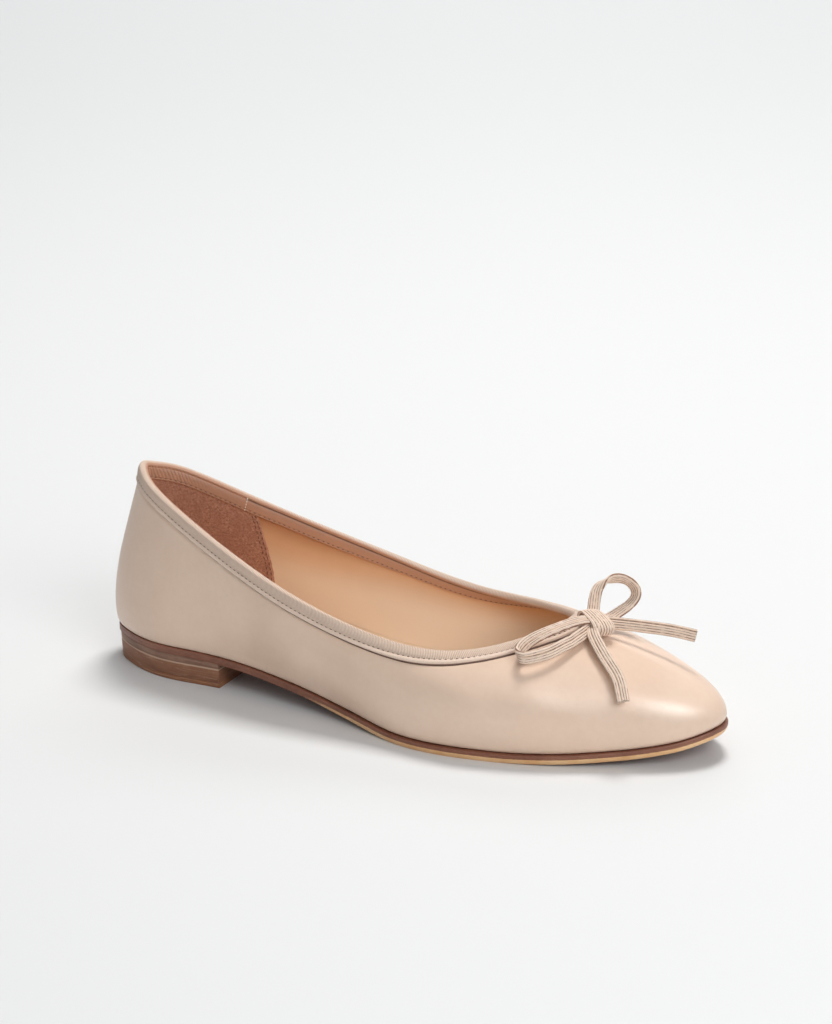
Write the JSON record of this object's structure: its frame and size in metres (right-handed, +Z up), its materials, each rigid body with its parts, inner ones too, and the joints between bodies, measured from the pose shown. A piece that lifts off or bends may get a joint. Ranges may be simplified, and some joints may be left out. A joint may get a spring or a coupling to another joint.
{
  "type": "ballet flat",
  "caption": "Pale beige leather ballet flat for the right foot with ribbed topline binding, cord bow, thin leather sole and low stacked heel",
  "frame": {"origin": "On the floor, under the middle of the shoe's box.", "axes": "+X points to the toe, +Y to the wearer's left, which is the inner side of this right shoe, and +Z up from the floor."},
  "size_m": [0.2516, 0.087, 0.0793],
  "materials": {
    "smooth_calf_leather": "smooth, soft gloss",
    "ribbed_binding_tape": "matt, ribbed across its length",
    "insole_leather": "matt",
    "sole_leather": "stained edge, satin",
    "heel_lift_leather": "ground edge, matt",
    "stained_heel_leather": "stained edge, satin",
    "top_piece_rubber": "matt",
    "ribbed_bow_cord": "matt, ribbed along its length"
  },
  "bodies": {
    "root": {"upper": "smooth_calf_leather", "topline_binding": "ribbed_binding_tape", "insole": "insole_leather", "outsole": "sole_leather", "heel_lift_upper": "heel_lift_leather", "heel_lift_lower": "stained_heel_leather", "heel_top_piece": "top_piece_rubber", "bow_knot": "ribbed_bow_cord", "bow_loop_lateral": "ribbed_bow_cord", "bow_loop_medial": "ribbed_bow_cord", "bow_tail_lateral": "ribbed_bow_cord", "bow_tail_medial": "ribbed_bow_cord"}
  },
  "joints": []
}
